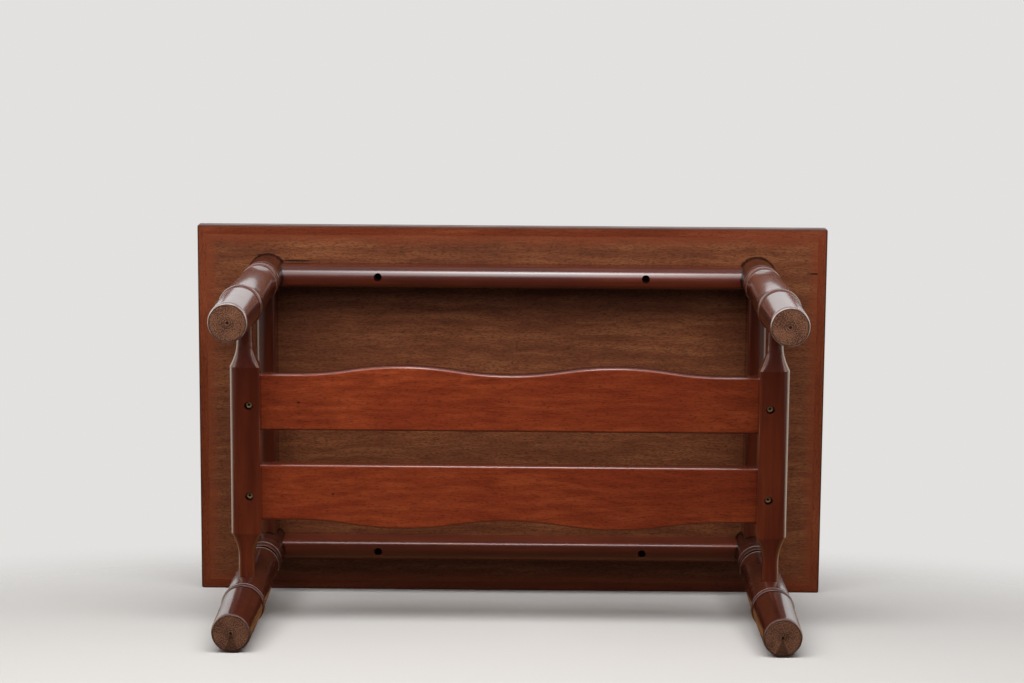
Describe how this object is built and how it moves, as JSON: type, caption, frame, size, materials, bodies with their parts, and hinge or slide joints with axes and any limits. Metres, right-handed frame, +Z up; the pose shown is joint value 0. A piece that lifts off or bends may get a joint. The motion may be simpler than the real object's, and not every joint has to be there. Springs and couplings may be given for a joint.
{
  "type": "coffee table",
  "caption": "Low rectangular coffee table: lipped top, ring-turned round legs, rails, and a shelf of wavy-edged slats on stretchers with coved ends.",
  "frame": {"origin": "on the floor, under the middle of the top", "axes": "+X along the table's length, +Y from the front long edge to the back one, +Z up from the floor to the top"},
  "size_m": [0.76, 0.45, 0.43],
  "materials": {
    "leg_wood": "stained and lacquered, satin",
    "rail_wood": "stained and lacquered, satin",
    "stretcher_wood": "stained and lacquered, satin",
    "slat_wood": "stained and lacquered, satin",
    "lipping_wood": "stained and lacquered, satin",
    "top_veneer_wood": "stained veneer, semi-gloss lacquer",
    "underside_veneer_wood": "thinly stained veneer, matt",
    "core_board": "raw board",
    "dowel_wood": "raw beech",
    "screw_steel": "plated steel"
  },
  "bodies": {
    "root": {"leg_front_left": "leg_wood", "leg_front_right": "leg_wood", "leg_back_left": "leg_wood", "leg_back_right": "leg_wood", "rail_front": "rail_wood", "rail_back": "rail_wood", "rail_left": "rail_wood", "rail_right": "rail_wood", "stretcher_left": "stretcher_wood", "stretcher_right": "stretcher_wood", "slat_front": "slat_wood", "slat_back": "slat_wood", "lipping_front": "lipping_wood", "lipping_back": "lipping_wood", "lipping_left": "lipping_wood", "lipping_right": "lipping_wood", "top_veneer": "top_veneer_wood", "underside_veneer": "underside_veneer_wood", "top_core": "core_board", "rail_dowels": "dowel_wood", "slat_screws": "screw_steel", "top_screws": "screw_steel"}
  },
  "joints": []
}
